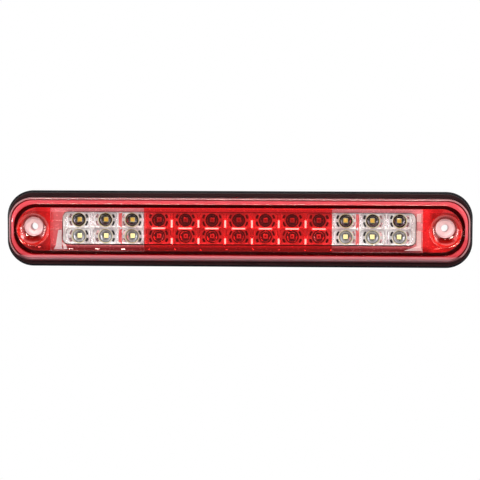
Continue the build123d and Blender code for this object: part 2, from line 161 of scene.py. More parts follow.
class Shell:
    """Collects points and faces; slot is the material slot of a face."""

    def __init__(self):
        self.points, self.faces, self.slots = [], [], []

    def point(self, x, y, front):
        self.points.append((x * MM, -front * MM, (y - SCREW_Y) * MM))
        return len(self.points) - 1

    def ring(self, points):
        return [self.point(*point) for point in points]

    def rects(self, rows, steps, x=0.0, y=0.0):
        """Rings of rounded rectangles from rows of width, height, corner radius, front."""
        return [self.ring(rounded_rect(*row, steps, x, y)) for row in rows]

    def circles(self, rows, steps, x, y):
        """Rings of circles from rows of radius, front."""
        return [self.ring(circle(*row, x, y, steps)) for row in rows]

    def face(self, loop, slot=0):
        self.faces.append(tuple(loop))
        self.slots.append(slot)

    def bridge(self, ring, other, slot=0):
        for i in range(len(ring)):
            j = (i + 1) % len(ring)
            self.face((ring[i], ring[j], other[j], other[i]), slot)

    def stack(self, rings, slot=0):
        for ring, other in zip(rings, rings[1:]):
            self.bridge(ring, other, slot)

    def close(self, rings, slot=0, end_slot=None):
        """Stack the rings and close both ends."""
        self.stack(rings, slot)
        self.face(rings[0][::-1], slot)
        self.face(rings[-1], slot if end_slot is None else end_slot)

    def fill(self, loops, slot=0):
        """Fill a flat outline, the first loop, around the holes that follow it."""
        flat = [
            [Vector((self.points[i][0] * 1000, self.points[i][2] * 1000, 0)) for i in loop]
            for loop in loops
        ]
        index = [i for loop in loops for i in loop]
        for triangle in geometry.tessellate_polygon(flat):
            self.face([index[k] for k in triangle], slot)

    def block(self, left, right, bottom, top, back, front, slot, chamfer):
        """A closed block whose front edges are chamfered."""
        outlines = (
            rectangle(left, right, bottom, top, back),
            rectangle(left, right, bottom, top, front - chamfer),
            rectangle(left + chamfer, right - chamfer, bottom + chamfer, top - chamfer, front),
        )
        self.close([self.ring(outline) for outline in outlines], slot)

    def mesh(self, name, materials):
        mesh = bpy.data.meshes.new(name)
        mesh.from_pydata(self.points, [], self.faces)
        for material in materials:
            mesh.materials.append(MATERIALS[material])
        return mesh

    def make(self, name, materials, slot, replaces, angle=32):
        """Turn the shell into a lamp piece; edges sharper than angle in degrees stay sharp."""
        mesh = self.mesh(name, materials)
        mesh.polygons.foreach_set("material_index", self.slots)
        edit = bmesh.new()
        edit.from_mesh(mesh)
        bmesh.ops.recalc_face_normals(edit, faces=edit.faces)
        edit.to_mesh(mesh)
        edit.free()
        mesh.shade_smooth()
        mesh.set_sharp_from_angle(angle=math.radians(angle))
        obj = link_object(name, mesh)
        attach(obj, "lamp")
        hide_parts(replaces)


# ---------------------------------------------------------------------------
# Shader building
# ---------------------------------------------------------------------------
class Shader:
    """Node tree of a material or world. Places in it are metres, z counted like y in the shapes."""

    def __init__(self, owner, output):
        owner.use_nodes = True
        self.tree = owner.node_tree
        self.tree.nodes.clear()
        self.output = self.tree.nodes.new(output)

    def feed(self, socket, value):
        """Link a node or socket to an input, or set its value."""
        if isinstance(value, bpy.types.Node):
            value = value.outputs[0]
        if isinstance(value, bpy.types.NodeSocket):
            self.tree.links.new(value, socket)
        elif socket.type == "RGBA":
            socket.default_value = (*value[:3], 1.0)
        else:
            socket.default_value = value

    def node(self, kind, *inputs, settings=None, **named_inputs):
        """Add a node; inputs go by order or by name, with _ for a space."""
        node = self.tree.nodes.new("ShaderNode" + kind)
        for key, value in (settings or {}).items():
            setattr(node, key, value)
        for socket, value in zip(node.inputs, inputs):
            self.feed(socket, value)
        for key, value in named_inputs.items():
            self.feed(node.inputs[key.replace("_", " ")], value)
        return node

    def math(self, operation, first, second=0.0, *third, clamp=False):
        settings = {"operation": operation, "use_clamp": clamp}
        return self.node("Math", first, second, *third, settings=settings).outputs[0]

    def mix(self, factor, first, second):
        node = self.node("Mix", settings={"data_type": "RGBA"})
        for index, value in ((0, factor), (6, first), (7, second)):
            self.feed(node.inputs[index], value)
        return node.outputs[2]

    def place(self):
        point = self.node("TexCoord").outputs["Object"]
        return self.node("Mapping", Vector=point, Location=(0.0, 0.0, SCREW_Y * MM)).outputs[0]

    def split(self, vector):
        return self.node("SeparateXYZ", Vector=vector).outputs

    def noise(self, scale, detail=3.0, at=None):
        at = at or self.place()
        return self.node("TexNoise", Vector=at, Scale=scale, Detail=detail, Roughness=0.55).outputs[0]

    def remap(self, value, start, end, low=0.0, high=1.0, kind="LINEAR"):
        """low at start, high at end, held beyond them."""
        settings = {"interpolation_type": kind}
        return self.node("MapRange", value, start, end, low, high, settings=settings).outputs[0]

    def spread(self, noise, low, high):
        """Stretch the usual span of a noise over low to high."""
        return self.remap(noise, 0.3, 0.7, low, high)

    def blend(self, noise, dark, light, start=0.3, end=0.7):
        """Colour that runs from dark to light as the noise goes from start to end."""
        return self.mix(self.remap(noise, start, end), dark, light)

    def tone(self, patches, grain):
        patches = self.math("MULTIPLY", patches, 0.6)
        return self.math("ADD", patches, self.math("MULTIPLY", grain, 0.4))

    def square_sum(self, first, second):
        first = self.math("MULTIPLY", first, first)
        return self.math("ADD", first, self.math("MULTIPLY", second, second))

    def bump(self, height, strength, depth):
        """Normal from a height; depth is in mm."""
        return self.node("Bump", Height=height, Strength=strength, Distance=depth * MM).outputs[0]

    def cup_radius_squared(self, x, z):
        """Square of the distance from the axis of the nearest cup."""
        cell = self.math("DIVIDE", x, PITCH * MM)
        across = self.math("SUBTRACT", cell, self.math("ROUND", cell))
        across = self.math("MULTIPLY", across, PITCH * MM)
        from_middle = self.math("ABSOLUTE", self.math("SUBTRACT", z, BAR_Y * MM))
        return self.square_sum(across, self.math("SUBTRACT", from_middle, ROW * MM))

    def finish(self, surface):
        self.feed(self.output.inputs[0], surface)

    def principled(self, colour, roughness, normal, **inputs):
        inputs.update(Base_Color=colour, Roughness=roughness, Normal=normal)
        self.finish(self.node("BsdfPrincipled", **inputs))


MATERIALS = {}


def new_material(name):
    MATERIALS[name] = bpy.data.materials.new(name)
    return Shader(MATERIALS[name], "ShaderNodeOutputMaterial")


# ---------------------------------------------------------------------------
# Families of materials
# ---------------------------------------------------------------------------
def moulded(name, dark, light, rough, grain, bump, depth, patch):
    """Moulded plastic or rubber: slow patches of tone, and a grain in tone, gloss and height."""
    mat = new_material(name)
    at = mat.place()
    patches = mat.noise(scale=patch, detail=2.0, at=at)
    fine = mat.noise(scale=grain, detail=4.0, at=at)
    colour = mat.blend(mat.tone(patches, fine), dark, light)
    mat.principled(colour, mat.spread(fine, *rough), mat.bump(fine, bump, depth))


# name, dark and light tone, roughness, noise scale of the grain, bump strength and depth in mm,
# noise scale of the patches
for row in (
    ("reflector_rib_pale", (0.66, 0.66, 0.69), (0.80, 0.80, 0.83), (0.3, 0.45), 300, 0.15, 0.04, 25),
    # painted reflection of the red lens, on cell walls and ribs beside the cargo cups
    ("reflector_red_reflection", (0.62, 0.05, 0.06), (0.80, 0.16, 0.17), (0.2, 0.35), 300, 0.2, 0.05, 120),
    # tray_pale and tray_ramp are painted reflections: the pale and grey strips at the ends of the tray
    ("tray_pale", (0.74, 0.62, 0.65), (0.88, 0.80, 0.82), (0.25, 0.4), 400, 0.15, 0.04, 25),
    ("tray_ramp", (0.60, 0.57, 0.62), (0.68, 0.65, 0.70), (0.25, 0.4), 400, 0.15, 0.04, 25),
    ("sealant_pale", (0.62, 0.58, 0.58), (0.82, 0.78, 0.78), (0.35, 0.5), 200, 0.3, 0.15, 25),
    ("led_package", (0.72, 0.72, 0.68), (0.85, 0.85, 0.82), (0.25, 0.4), 1500, 0.1, 0.02, 25),
    ("chip_epoxy", (0.012, 0.012, 0.013), (0.03, 0.03, 0.032), (0.4, 0.6), 2500, 0.2, 0.02, 25),
    ("natural_nylon", (0.66, 0.62, 0.54), (0.78, 0.75, 0.68), (0.4, 0.55), 900, 0.15, 0.03, 25),
    ("wire_blue", (0.06, 0.22, 0.55), (0.10, 0.34, 0.75), (0.3, 0.42), 900, 0.1, 0.02, 25),
    ("wire_orange", (0.70, 0.20, 0.012), (0.85, 0.32, 0.03), (0.3, 0.42), 900, 0.1, 0.02, 25),
    ("wire_black", (0.008, 0.008, 0.009), (0.02, 0.02, 0.02), (0.3, 0.42), 900, 0.1, 0.02, 25),
    ("plug_nylon", (0.015, 0.015, 0.016), (0.03, 0.03, 0.031), (0.42, 0.6), 1600, 0.3, 0.03, 25),
    ("latch_nylon", (0.20, 0.20, 0.21), (0.30, 0.30, 0.31), (0.4, 0.55), 1400, 0.25, 0.03, 25),
    ("retainer_nylon", (0.26, 0.26, 0.27), (0.36, 0.36, 0.37), (0.4, 0.55), 1400, 0.2, 0.03, 25),
    ("seal_silicone", (0.42, 0.07, 0.03), (0.58, 0.12, 0.05), (0.35, 0.5), 800, 0.1, 0.02, 25),
    ("grommet_rubber", (0.01, 0.01, 0.01), (0.024, 0.024, 0.024), (0.5, 0.7), 1200, 0.3, 0.04, 25),
    ("brake_emitter_die", (0.30, 0.010, 0.012), (0.45, 0.02, 0.02), (0.2, 0.3), 2500, 0.1, 0.01, 25),
):
    moulded(*row)


def metal(name, light, rough, grain=160, bump=0.04, depth=0.05, dark=None, metallic=1.0,
          patch=30, patch_detail=2.0, contrast=(0.35, 0.65), brushed=False):
    """Metal or satin plating; contrast is the span of the patch noise from dark to light."""
    mat = new_material(name)
    at = mat.place()
    grain_at = at
    if brushed:
        grain_at = mat.node("Mapping", Vector=at, Scale=(1.0, 1.0, 14.0)).outputs[0]
    fine = mat.noise(scale=grain, at=grain_at)
    patches = mat.noise(scale=patch, detail=patch_detail, at=at)
    dark = dark or [channel * 0.94 for channel in light]
    colour = mat.blend(patches, dark, light, *contrast)
    normal = mat.bump(fine, bump, depth)
    mat.principled(colour, mat.spread(fine, *rough), normal, Metallic=metallic)


metal("reflector_metallised", (0.86, 0.86, 0.90), rough=(0.04, 0.09))
metal("reflector_shadow", (0.030, 0.028, 0.032), rough=(0.3, 0.45))
# painted reflection: pale pink metal for the shallow reliefs beside the cargo cups
metal("reflector_pink_reflection", (0.85, 0.55, 0.60), rough=(0.15, 0.3))
metal("tray_bead", (0.95, 0.62, 0.66), rough=(0.2, 0.35), grain=500)
metal("screw_steel", (0.62, 0.62, 0.64), rough=(0.25, 0.4), grain=600, bump=0.1)
metal("capacitor_can", (0.74, 0.74, 0.76), rough=(0.2, 0.32), grain=640, brushed=True)
metal("tinned_contact", (0.76, 0.73, 0.66), rough=(0.2, 0.35), grain=900)
metal(
    "reflector_satin", (0.80, 0.81, 0.85), dark=(0.56, 0.53, 0.56), rough=(0.16, 0.3), grain=420,
    bump=0.35, depth=0.06, metallic=0.3, patch=75, patch_detail=2.5, contrast=(0.42, 0.58),
)
# the pink of the bush is a painted reflection of the red walls of the well
metal(
    "bush_pink_reflection", (0.74, 0.54, 0.57), dark=(0.60, 0.40, 0.43), rough=(0.42, 0.58), grain=500,
    bump=0.1, depth=0.03, metallic=0.15, patch=90,
)


def clear_plastic(name, face, edge, reflection=0.042, gloss=1.0, wave=0.02, haze=0.0, glow=None,
                  foot=None, painted_shade_patch=None):
    """Transparent thin wall whose tint goes from face to edge as it is seen edge-on.

    reflection is the mirror share seen head-on, gloss scales it all, wave ripples it. haze is
    the share of light scattered inside, coloured by glow, and by the two foot tones towards the
    lower edge, which paint the light and shade of that edge. The last argument is x, z, half
    width and half height in metres of a deep red patch of painted shade on either side.
    """
    mat = new_material(name)
    view = mat.node("NewGeometry").outputs
    at = mat.place()
    normal = mat.bump(mat.noise(scale=55, detail=2.0, at=at), wave, depth=0.3)
    dot = mat.node(
        "VectorMath", view["Normal"], view["Incoming"], settings={"operation": "DOT_PRODUCT"}
    ).outputs["Value"]
    graze = mat.math("SUBTRACT", 1.0, mat.math("ABSOLUTE", dot), clamp=True)
    mirror = mat.math(
        "MULTIPLY_ADD", mat.math("POWER", graze, 5.0), 1 - reflection, reflection
    )
    mirror = mat.math("MULTIPLY", mirror, gloss, clamp=True)
    patches = mat.noise(scale=18, detail=2.0, at=at)
    shade = None
    # painted shade: a deep red patch low in each screw well, which also dulls the mirror there
    if painted_shade_patch:
        middle_x, middle_z, half_width, half_height = painted_shade_patch
        x, y, z = mat.split(at)
        across = mat.math("SUBTRACT", mat.math("ABSOLUTE", x), middle_x)
        across = mat.math("DIVIDE", across, half_width)
        up = mat.math("DIVIDE", mat.math("SUBTRACT", z, middle_z), half_height)
        shade = mat.remap(mat.square_sum(across, up), 0.55, 1.3, low=1.0, high=0.0)
        dulled = mat.math("SUBTRACT", 1.0, mat.math("MULTIPLY", shade, 0.93))
        mirror = mat.math("MULTIPLY", mirror, dulled)
    depth = mat.math("POWER", graze, 1.6)
    depth = mat.math("ADD", depth, mat.remap(patches, 0.35, 0.65, -0.03, 0.03), clamp=True)
    tint = mat.mix(depth, face, edge)
    if shade is not None:
        tint = mat.mix(shade, tint, [0.85 * edge[0], 0.3 * edge[1], 0.3 * edge[2]])
    body = mat.node("BsdfTransparent", Color=tint)
    if haze:
        streaks = mat.noise(scale=90, at=at)
        colour = mat.blend(streaks, [channel * 0.8 for channel in glow], glow)
        if foot:
            z = mat.split(at)[2]
            colour = mat.mix(mat.remap(z, -0.0240, -0.0254), colour, foot[0])
            colour = mat.mix(mat.remap(z, -0.0272, -0.0279), colour, foot[1])
        if shade is not None:
            colour = mat.mix(shade, colour, (0.55, 0.010, 0.006))
        through = mat.mix(0.5, colour, (0, 0, 0))
        scatter = mat.node(
            "AddShader",
            mat.node("BsdfDiffuse", Color=colour),
            mat.node("BsdfTranslucent", Color=through),
        )
        body = mat.node("MixShader", haze, body, scatter)
    shine = mat.node("BsdfGlossy", Color=(1, 1, 1), Roughness=0.025, Normal=normal)
    mat.finish(mat.node("MixShader", mirror, body, shine))


clear_plastic(
    "lens_red_plastic", face=(0.975, 0.375, 0.375), edge=(0.80, 0.02, 0.03),
    haze=0.02, glow=(0.9, 0.22, 0.25),
)
# the bevel: painted light on its lower edge, pale pink then grey
clear_plastic(
    "lens_red_bevel", face=(0.97, 0.40, 0.44), edge=(0.85, 0.10, 0.12), haze=0.5,
    glow=(0.64, 0.09, 0.12), foot=((0.68, 0.36, 0.42), (0.28, 0.27, 0.33)), gloss=0.42, wave=0.005,
)
# the ledge: its hazy grey-pink is a painted highlight, dark towards the lower edge as painted shade
clear_plastic(
    "lens_red_edge", face=(0.85, 0.35, 0.38), edge=(0.6, 0.1, 0.12), haze=0.7,
    glow=(0.38, 0.24, 0.26), foot=((0.09, 0.05, 0.06), (0.08, 0.045, 0.055)), gloss=0.22, wave=0.003,
)
clear_plastic("lens_red_step", face=(0.6, 0.06, 0.07), edge=(0.2, 0.01, 0.02), gloss=0.06)
# the groove: a dark tint and haze paint the shade in it, with paler painted tones towards the lower edge
clear_plastic(
    "lens_red_groove", face=(0.4, 0.04, 0.05), edge=(0.2, 0.01, 0.02), haze=0.5,
    glow=(0.10, 0.016, 0.02), foot=((0.30, 0.19, 0.22), (0.42, 0.34, 0.39)), gloss=0.1,
)
clear_plastic(
    "lens_red_well", face=(0.97, 0.20, 0.18), edge=(0.75, 0.02, 0.015), haze=0.2,
    glow=(0.95, 0.03, 0.015), reflection=0.09,
    painted_shade_patch=(SCREW_X * MM, (SCREW_Y - 11.2) * MM, 0.0085, 0.0032),
)
clear_plastic("lens_clear_plastic", face=(0.985, 0.975, 0.975), edge=(0.80, 0.72, 0.74))


def front_toned(name, front_span, back, front, patch, grain, rough, depth, specular):
    """Black material with a separate pair of tones on its front.

    front_span is a remap of Y that gives 1 on the front; patch is noise scale and detail;
    specular is the level on the back and on the front.
    """
    mat = new_material(name)
    at = mat.place()
    on_front = mat.remap(mat.split(at)[1], *front_span)
    patches = mat.noise(*patch, at=at)
    fine = mat.noise(scale=grain, detail=4.0, at=at)
    tone = mat.tone(patches, fine)
    colour = mat.mix(on_front, mat.blend(tone, *back), mat.blend(tone, *front))
    mat.principled(
        colour, mat.spread(fine, *rough), mat.bump(fine, 0.3, depth),
        Specular_IOR_Level=mat.remap(on_front, 0.0, 1.0, *specular),
    )


# Lighter on the back; darker, bluish and less shiny on the lip that shows round the lens
front_toned(
    "gasket_rubber", front_span=(-0.0030, -0.0036, 0.0, 1.0),
    back=((0.010, 0.010, 0.0105), (0.030, 0.030, 0.031)),
    front=((0.0032, 0.0031, 0.0050), (0.0080, 0.0076, 0.0115)),
    patch=(30, 3.0), grain=1500, rough=(0.36, 0.55), depth=0.04, specular=(0.3, 0.08),
)
# The front of the flange is tinted maroon, a painted reflection of the red lens, and stays dull
front_toned(
    "housing_black", front_span=(-0.0074, -0.0066, 1.0, 0.0),
    back=((0.006, 0.006, 0.0065), (0.020, 0.020, 0.021)),
    front=((0.012, 0.0035, 0.005), (0.026, 0.008, 0.010)),
    patch=(25, 2.0), grain=1800, rough=(0.34, 0.52), depth=0.03, specular=(0.4, 0.05),
)


# ---------------------------------------------------------------------------
# Single materials
# ---------------------------------------------------------------------------
def cup_rim():
    """Lip of a cup, tinted pale gold: a painted reflection of the yellow gel of the diode under it."""
    mat = new_material("cup_rim_gel_reflection")
    fine = mat.noise(scale=500)
    colour = mat.blend(fine, dark=(0.72, 0.62, 0.30), light=(0.95, 0.90, 0.62))
    normal = mat.bump(fine, strength=0.1, depth=0.03)
    mat.principled(colour, roughness=0.22, normal=normal, Metallic=0.25)


def cup_bowl():
    """Bowls of the cups: the upper row is painted darker as shade from the rim of the lens, and rings
    round each axis are painted reflections.
    """
    mat = new_material("cup_metallised")
    at = mat.place()
    x, y, z = mat.split(at)
    shaded_upper_row = mat.remap(z, 0.0006, 0.0014)
    fine = mat.noise(scale=160, at=at)
    patches = mat.noise(scale=260, detail=2.0, at=at)
    cargo_end = mat.remap(mat.math("ABSOLUTE", x), 0.086, 0.089)
    # painted reflection: light and dark rings round the axis of each cup; radius of a crest and spacing,
    # in metres
    crest, spacing = 0.00490, 0.0022
    radius = mat.math("SQRT", mat.cup_radius_squared(x, z))
    phase = mat.math("MULTIPLY", mat.math("SUBTRACT", radius, crest), 6.2832 / spacing)
    wave = mat.remap(mat.math("COSINE", phase), -1.0, 1.0, 0.0, 0.85)
    painted_rings = mat.math("ADD", wave, mat.remap(patches, 0.4, 0.6, -0.1, 0.15), clamp=True)
    # each row: dark and light ring in the brake cups, then in the cargo cups; the upper row is darker,
    # painted shade
    lower, upper = (
        mat.mix(cargo_end, mat.mix(painted_rings, *brake), mat.mix(painted_rings, *cargo))
        for brake, cargo in (
            (((0.07, 0.07, 0.075), (0.72, 0.72, 0.74)), ((0.24, 0.27, 0.31), (0.58, 0.61, 0.65))),
            (((0.015, 0.015, 0.015), (0.22, 0.20, 0.20)), ((0.06, 0.06, 0.075), (0.25, 0.245, 0.27))),
        )
    )
    # the lower cargo cups are less metallic, so that they read lighter: painted light
    lost = mat.math("MULTIPLY", cargo_end, mat.remap(shaded_upper_row, 0.0, 1.0, 0.4, 0.0))
    mat.principled(
        mat.mix(shaded_upper_row, lower, upper), mat.spread(fine, 0.05, 0.12),
        mat.bump(fine, strength=0.06, depth=0.05), Metallic=mat.math("SUBTRACT", 1.0, lost),
    )


def tray_metal():
    """Metallised tray coloured red: paler above with a painted glow, deep red below as painted shade,
    paler by the wells.
    """
    mat = new_material("tray_metallised")
    at = mat.place()
    x, y, z = mat.split(at)
    lower = mat.remap(z, -0.0185, -0.0150, low=1.0, high=0.0)
    ends = mat.remap(mat.math("ABSOLUTE", x), 0.1785, 0.184)
    right_end = mat.remap(x, 0.164, 0.172)
    upper = mat.remap(z, 0.0160, 0.0168)
    fine = mat.noise(scale=420, at=at)
    patches = mat.noise(scale=35, detail=2.0, at=at)
    base = mat.blend(patches, (0.74, 0.15, 0.18), (0.86, 0.22, 0.25), start=0.35, end=0.65)
    base = mat.mix(right_end, base, (0.97, 0.50, 0.55))
    # painted light: the upper slope is paler
    base = mat.mix(upper, base, (1.0, 0.62, 0.66))
    by_wells = mat.blend(patches, (0.34, 0.12, 0.12), (0.85, 0.42, 0.42), start=0.4, end=0.6)
    base = mat.mix(ends, base, by_wells)
    # painted shade: the lower band turns deep red, except by the wells
    deep = mat.math("MULTIPLY", lower, mat.math("SUBTRACT", 1.0, ends))
    mat.principled(
        mat.mix(deep, base, (0.30, 0.022, 0.03)), mat.spread(fine, 0.16, 0.3),
        mat.bump(fine, strength=0.2, depth=0.05), Metallic=0.35,
        # painted glow on the upper slope, standing in for light that the red rim of the lens pipes onto it
        Emission_Color=mat.mix(upper, (0, 0, 0), (0.38, 0.06, 0.075)), Emission_Strength=1.0,
    )


def board_mask():
    """White solder mask, painted black round every diode as shade, so that the throats of the cups stay
    dark.
    """
    mat = new_material("board_mask")
    at = mat.place()
    x, y, z = mat.split(at)
    edge_start, edge_end = (3.6 * MM) ** 2, (3.7 * MM) ** 2
    throat_shade = mat.remap(mat.cup_radius_squared(x, z), edge_start, edge_end, low=1.0, high=0.0)
    fine = mat.noise(scale=600, at=at)
    tone = mat.spread(fine, 0.0, 1.0)
    white = mat.mix(tone, (0.72, 0.73, 0.71), (0.84, 0.85, 0.83))
    black = mat.mix(tone, (0.012, 0.016, 0.013), (0.028, 0.034, 0.030))
    normal = mat.bump(fine, strength=0.1, depth=0.02)
    mat.principled(mat.mix(throat_shade, white, black), mat.spread(fine, 0.25, 0.35), normal)


def phosphor_gel():
    """Yellow gel, paler downwards as painted light, with a painted glow that is stronger downwards."""
    mat = new_material("led_phosphor_gel")
    at = mat.place()
    lower = mat.remap(mat.split(at)[2], 0.004, -0.002)
    fine = mat.noise(scale=2500, detail=4.0, at=at)
    yellow = mat.blend(fine, dark=(0.62, 0.36, 0.03), light=(0.85, 0.55, 0.08))
    colour = mat.mix(lower, yellow, (0.92, 0.80, 0.36))
    mat.principled(
        colour, roughness=0.3, normal=mat.bump(fine, strength=0.2, depth=0.02), Coat_Weight=0.4,
        Emission_Color=colour, Emission_Strength=mat.remap(lower, 0.0, 1.0, low=0.3, high=0.8),
    )


def brake_gel():
    """Pink gel, painted darker in the upper row as shade."""
    mat = new_material("brake_emitter_gel")
    fine = mat.noise(scale=1800)
    shaded_upper_row = mat.remap(mat.split(mat.place())[2], 0.0006, 0.0014)
    pink = mat.blend(fine, dark=(0.86, 0.60, 0.56), light=(1.0, 0.80, 0.76))
    colour = mat.mix(shaded_upper_row, pink, (0.50, 0.26, 0.26))
    normal = mat.bump(fine, strength=0.1, depth=0.02)
    mat.principled(colour, roughness=0.22, normal=normal, Coat_Weight=0.5)


def sheath_braid():
    """Two crossing spirals round the sheath."""
    axis_y = 0.031  # metres
    along_rate, strands = 2600.0, 6.0
    mat = new_material("sheath_braid")
    x, y, z = mat.split(mat.place())
    turn = mat.math("ARCTAN2", z, mat.math("SUBTRACT", y, axis_y))
    along = mat.math("MULTIPLY", mat.math("ADD", x, y), along_rate)
    around = mat.math("MULTIPLY", turn, strands)
    spirals = [mat.math("SINE", mat.math(way, along, around)) for way in ("ADD", "SUBTRACT")]
    weave = mat.math("MAXIMUM", *spirals)
    colour = mat.blend(weave, (0.006, 0.006, 0.007), (0.045, 0.045, 0.048), start=-0.2, end=1.0)
    mat.principled(colour, roughness=0.55, normal=mat.bump(weave, strength=0.6, depth=0.15))


def vent_patch():
    mat = new_material("vent_patch")
    fine = mat.noise(scale=2200, detail=4.0)
    colour = mat.blend(fine, dark=(0.62, 0.62, 0.60), light=(0.80, 0.80, 0.78))
    normal = mat.bump(fine, strength=0.5, depth=0.04)
    mat.principled(colour, roughness=0.8, normal=normal, Sheen_Weight=0.3)


def pale_floor():
    """Grey to the light, plain white to the camera."""
    mat = new_material("studio_floor")
    to_camera = mat.node("LightPath").outputs["Is Camera Ray"]
    patches = mat.noise(scale=3.0, detail=2.0)
    colour = mat.blend(patches, dark=(0.24, 0.24, 0.24), light=(0.28, 0.28, 0.28))
    grey = mat.node("BsdfDiffuse", Color=colour)
    white = mat.node("Emission", Color=(1, 1, 1), Strength=1.0)
    mat.finish(mat.node("MixShader", to_camera, grey, white))


for make_material in (
    cup_rim, cup_bowl, tray_metal, board_mask, phosphor_gel, brake_gel, sheath_braid, vent_patch,
    pale_floor,
):
    make_material()


# ---------------------------------------------------------------------------
# Red lens: one closed shell with a bevelled rim, a step down to the face,
# two window openings and two screw wells
# ---------------------------------------------------------------------------
LENS_RADIUS = 22.0
LENS_STEPS = 20
WINDOW_HEIGHT = 40.8
PLAIN, BEVEL, EDGE, STEP, WELL, GROOVE = range(6)  # material slots

SKIRT = (431.6, 54.8, 19.4, 8.5)  # inner edge of the back: width, height, corner radius, front
# inset of width and height, inset of corner radius, front
LENS_SIDE = (
    (0.5, 0.25, 8.5), (0.15, 0.07, 8.62), (0, 0, 8.95), (0, 0, 16.1), (0.10, 0.05, 16.5),
    (0.36, 0.18, 16.74), (0.8, 0.4, 16.84), (2.7, 1.0, 16.90), (2.9, 1.02, 16.3),
    (4.5, 1.06, 16.3), (4.7, 1.08, 17.4),
)
# width, height, corner radius, front
LENS_RIM = (
    (431.2, 54.35, 20.92, 18.4), (429.6, 52.7, 20.9, 19.42), (428.8, 51.9, 20.87, 19.80),
    (428.1, 51.15, 20.85, 20.08), (427.3, 50.3, 20.8, 20.30), (426.6, 49.3, 20.75, 20.44),
    (426.0, 48.2, 20.7, RIM_FRONT), (425.2, 45.6, 20.55, RIM_FRONT), (424.6, 44.8, 20.4, 20.38),
    (424.1, 44.2, 20.25, 20.14), (422.3, 42.3, 19.75, 19.58), (421.9, 41.9, 19.62, 19.45),
    (421.5, 41.5, 19.5, FACE_FRONT),
)
LENS_INSIDE = (
    (431.6, 54.8, 19.4, 14.9), (431.3, 54.5, 19.4, 15.3), (428.7, 51.7, 19.2, 16.75),
    (428.2, 51.2, 19.2, FACE_BACK),
)
# radius, front
WELL_LIP = ((15.75, FACE_FRONT), (15.5, 19.36), (15.28, 19.22), (15.1, 18.95))
DISH_FOOT = (9.75, 14.0)
DISH_STEPS = 12
WELL_BORE = (
    (9.5, 13.8), (9.32, 13.45), (9.22, 13.0), (8.62, 9.98), (8.5, 9.9), (4.75, 9.9),
    (4.65, 9.8), (4.65, 7.5),
)
WELL_OUTSIDE = (
    (11.0, 7.5), (11.2, 7.7), (11.2, 12.6), (11.35, 13.0), (11.7, 13.4), (15.2, 16.7),
    (15.6, FACE_BACK),
)


def add_well(shell, x):
    """Screw well; its rings slide from the middle of the face to the screw line as they deepen."""
    inside = [(radius, front, 0.0) for radius, front in WELL_LIP]
    (top_radius, top_front), (foot_radius, foot_front) = WELL_LIP[-1], DISH_FOOT
    for k in range(1, DISH_STEPS + 1):
        part = k / DISH_STEPS
        radius = top_radius + (foot_radius - top_radius) * part
        front = foot_front + (top_front - foot_front) * (1 - part) ** 1.8
        inside.append((radius, front, SCREW_Y * part))
    inside += [(radius, front, SCREW_Y) for radius, front in WELL_BORE]
    rings = [shell.ring(circle(radius, front, x, y, 72)) for radius, front, y in inside]
    shell.stack(rings, WELL)
    outside = [rings[-1]]
    for radius, front in WELL_OUTSIDE:
        y = SCREW_Y - max(0.0, front - 12.9) * 0.44
        outside.append(shell.ring(circle(radius, front, x, y, 72)))
    shell.stack(outside, WELL)
    return rings[0], outside[-1]


def lens():
    shell = Shell()
    side = [
        (LENS_WIDTH - inset, LENS_HEIGHT - inset, LENS_RADIUS - corner, front)
        for inset, corner, front in LENS_SIDE
    ]
    rings = shell.rects([SKIRT, *side, *LENS_RIM], LENS_STEPS)
    shell.stack(rings[:6], PLAIN)
    shell.stack(rings[5:9], EDGE)
    shell.stack(rings[8:11], GROOVE)
    shell.stack(rings[10:19], BEVEL)
    shell.stack(rings[18:], STEP)
    inside = [rings[0]] + shell.rects(LENS_INSIDE, LENS_STEPS)
    shell.stack(inside)
    front_loops, back_loops = [rings[-1]], [inside[-1]]
    for left, right in WINDOWS.values():
        width = right - left
        opening = shell.rects((
            (width + 0.1, WINDOW_HEIGHT + 0.1, 0.8, FACE_FRONT),
            (width, WINDOW_HEIGHT, 0.8, FACE_FRONT - 0.08),
            (width, WINDOW_HEIGHT, 0.8, FACE_BACK),
        ), steps=3, x=(left + right) / 2)
        shell.stack(opening, EDGE)
        front_loops.append(opening[0])
        back_loops.append(opening[-1])
    for side in SIDES:
        mouth, back = add_well(shell, side * SCREW_X)
        front_loops.append(mouth)
        back_loops.append(back)
    shell.fill(front_loops)
    shell.fill(back_loops)
    materials = [
        "lens_red_plastic", "lens_red_bevel", "lens_red_edge", "lens_red_step", "lens_red_well",
        "lens_red_groove",
    ]
    shell.make("lens_red_shell", materials, slot="lens_red", replaces="lens_red", angle=38)


def window_pane(side):
    left, right = WINDOWS[side]
    width, height = right - left - 0.08, WINDOW_HEIGHT - 0.08
    shell = Shell()
    shell.close(shell.rects((
        (width - 0.3, height - 0.3, 0.65, FACE_BACK),
        (width, height, 0.8, FACE_BACK + 0.15),
        (width, height, 0.8, FACE_FRONT - 0.15),
        (width - 0.3, height - 0.3, 0.65, FACE_FRONT),
    ), steps=3, x=(left + right) / 2))
    shell.make(
        f"lens_window_{side}_pane", ["lens_clear_plastic"],
        slot="lens_clear", replaces=f"lens_window_{side}",
    )


lens()
for side in WINDOWS:
    window_pane(side)

# ---------------------------------------------------------------------------
# Reflector bar with 26 cups
# ---------------------------------------------------------------------------
BAR_MATERIALS = [
    "reflector_satin", "cup_rim_gel_reflection", "reflector_metallised", "reflector_shadow",
    "cup_metallised", "reflector_pink_reflection", "reflector_red_reflection", "reflector_rib_pale",
]
SATIN, CUP_RIM, CHROME, SHADOW, CUP, PINK_REFLECTION, RED_REFLECTION, RIB_PALE = range(8)

